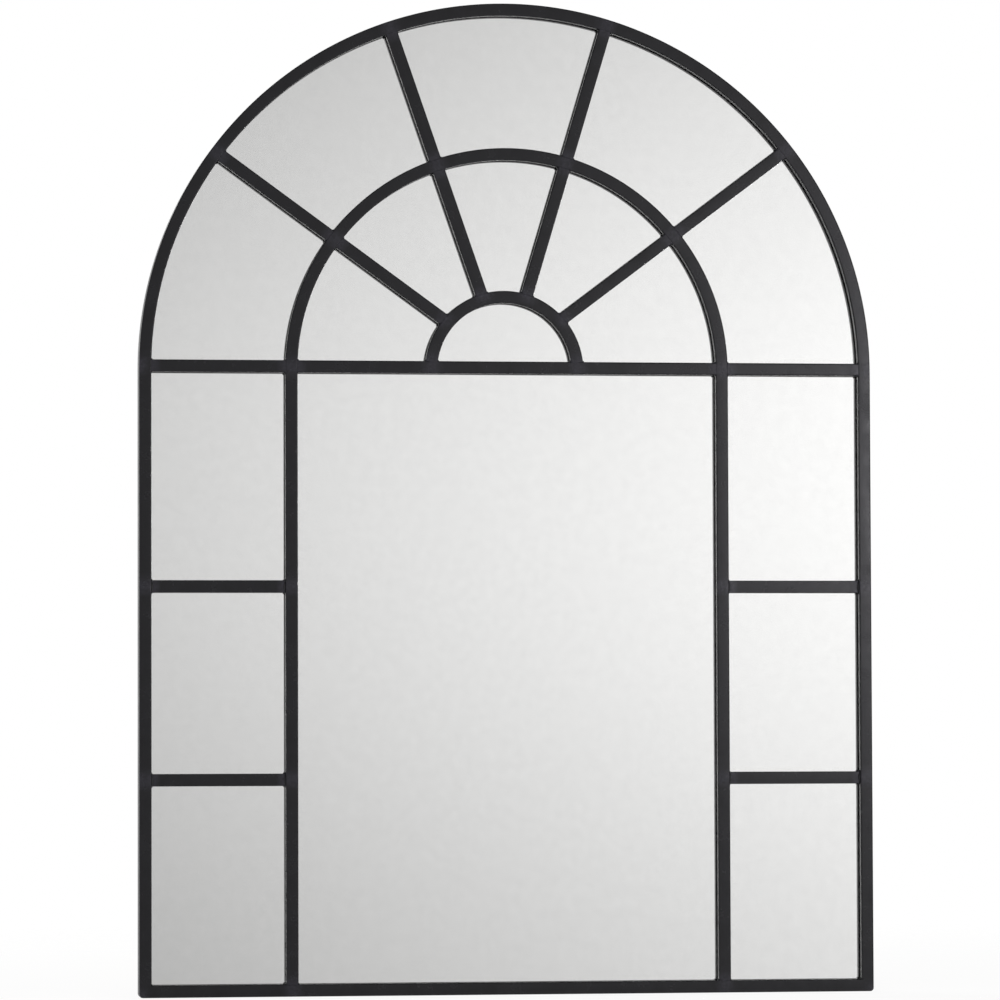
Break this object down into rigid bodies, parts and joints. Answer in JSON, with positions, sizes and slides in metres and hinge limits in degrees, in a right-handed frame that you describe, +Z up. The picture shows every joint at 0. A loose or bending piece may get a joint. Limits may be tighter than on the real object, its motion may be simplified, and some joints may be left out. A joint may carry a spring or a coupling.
{
  "type": "arched window mirror",
  "caption": "Arched wall mirror behind a welded black steel window grille with side lights, spoked fan and half-round hub; hangs on keyholes in its rim.",
  "frame": {"origin": "midway between the round entries of the two hanging keyholes, in the plane of the wall", "axes": "+X to the viewer's right, the mirror's front looks along -Y, +Y points into the wall, +Z up"},
  "size_m": [0.9, 0.028, 1.2089],
  "materials": {
    "black_paint": "satin powder coat over steel tube and flat bar",
    "weld_paint": "satin powder coat over ground welds",
    "clear_glass": "clear float glass",
    "silvering": "silver film with grey backing paint",
    "fibreboard": "plain brown fibreboard",
    "foam": "black closed-cell foam tape",
    "pad_rubber": "black rubber",
    "zinc_plate": "bright zinc-plated steel"
  },
  "bodies": {
    "root": {"back_board": "fibreboard", "board_clips": "zinc_plate", "bottom_rail": "black_paint", "clip_screws": "zinc_plate", "crossbar_lower_left": "black_paint", "crossbar_lower_right": "black_paint", "crossbar_upper_left": "black_paint", "crossbar_upper_right": "black_paint", "crossbar_welds": "weld_paint", "edge_tape": "foam", "glass_pads": "pad_rubber", "grille_tape": "foam", "grille_welds": "weld_paint", "hub_arch": "black_paint", "inner_arch": "black_paint", "inner_spoke_left_high": "black_paint", "inner_spoke_left_low": "black_paint", "inner_spoke_right_high": "black_paint", "inner_spoke_right_low": "black_paint", "inner_stile_left": "black_paint", "inner_stile_right": "black_paint", "keyhole_plate_left": "black_paint", "keyhole_plate_right": "black_paint", "mirror_glass": "clear_glass", "mirror_silvering": "silvering", "outer_arch": "black_paint", "outer_spoke_left_high": "black_paint", "outer_spoke_left_low": "black_paint", "outer_spoke_right_high": "black_paint", "outer_spoke_right_low": "black_paint", "outer_stile_left": "black_paint", "outer_stile_right": "black_paint", "rear_rim_arch": "black_paint", "rear_rim_bottom": "black_paint", "rear_rim_left": "black_paint", "rear_rim_right": "black_paint", "transom_left": "black_paint", "transom_middle": "black_paint", "transom_right": "black_paint"}
  },
  "joints": []
}
